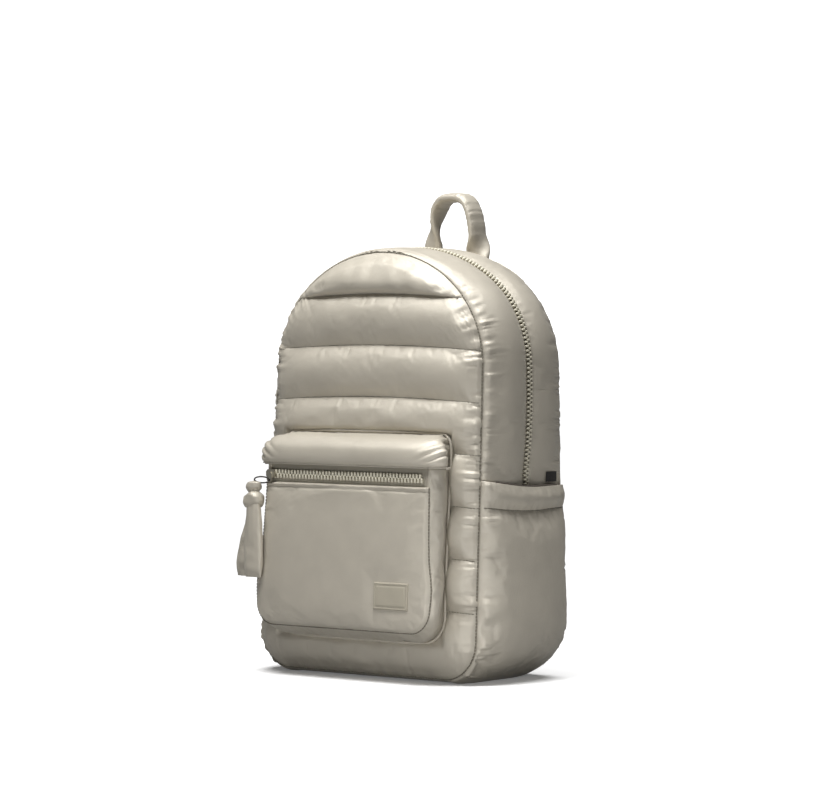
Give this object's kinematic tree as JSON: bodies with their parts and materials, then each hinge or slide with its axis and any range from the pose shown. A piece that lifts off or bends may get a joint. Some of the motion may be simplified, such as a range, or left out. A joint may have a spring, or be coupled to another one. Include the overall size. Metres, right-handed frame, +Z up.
{
  "type": "quilted backpack",
  "caption": "Upright padded backpack with a channel-quilted arched front, hooded front pocket, side pockets, a top handle and shoulder straps.",
  "frame": {"origin": "centre of the bounding box's footprint, on the surface it stands on", "axes": "+Z up, -Y towards the quilted front, +X towards the side with the small dark label"},
  "size_m": [0.3282, 0.2264, 0.504],
  "materials": {
    "cloth": "satin stone-coloured nylon",
    "zipper_tape": "woven tape with moulded teeth",
    "zip_metal": "satin",
    "dark_elastic": "ribbed matte",
    "patch_cloth": "woven matte",
    "dark_cord": "matte cord",
    "dark_label": "woven matte",
    "webbing": "woven ribbed",
    "buckle_plastic": "moulded matte"
  },
  "bodies": {
    "root": {"front_panel": "cloth", "gusset_front": "cloth", "gusset_back": "cloth", "main_zipper": "zipper_tape", "main_slider_1": "zip_metal", "main_slider_2": "zip_metal", "base_gusset": "cloth", "back_panel": "cloth", "side_pocket_right": "cloth", "side_pocket_left": "cloth", "pocket_elastic_right": "dark_elastic", "pocket_elastic_left": "dark_elastic", "pocket_piping": "cloth", "pocket_gusset": "cloth", "pocket_face": "cloth", "pocket_hood": "cloth", "pocket_zipper": "zipper_tape", "patch": "patch_cloth", "pocket_slider": "zip_metal", "pull_loop": "dark_cord", "tassel": "cloth", "haul_handle": "cloth", "side_label": "dark_label", "shoulder_strap_right": "cloth", "shoulder_strap_left": "cloth", "strap_webbing_right": "webbing", "strap_webbing_left": "webbing", "ladder_lock_right": "buckle_plastic", "ladder_lock_left": "buckle_plastic", "strap_anchor_right": "cloth", "strap_anchor_left": "cloth"}
  },
  "joints": []
}
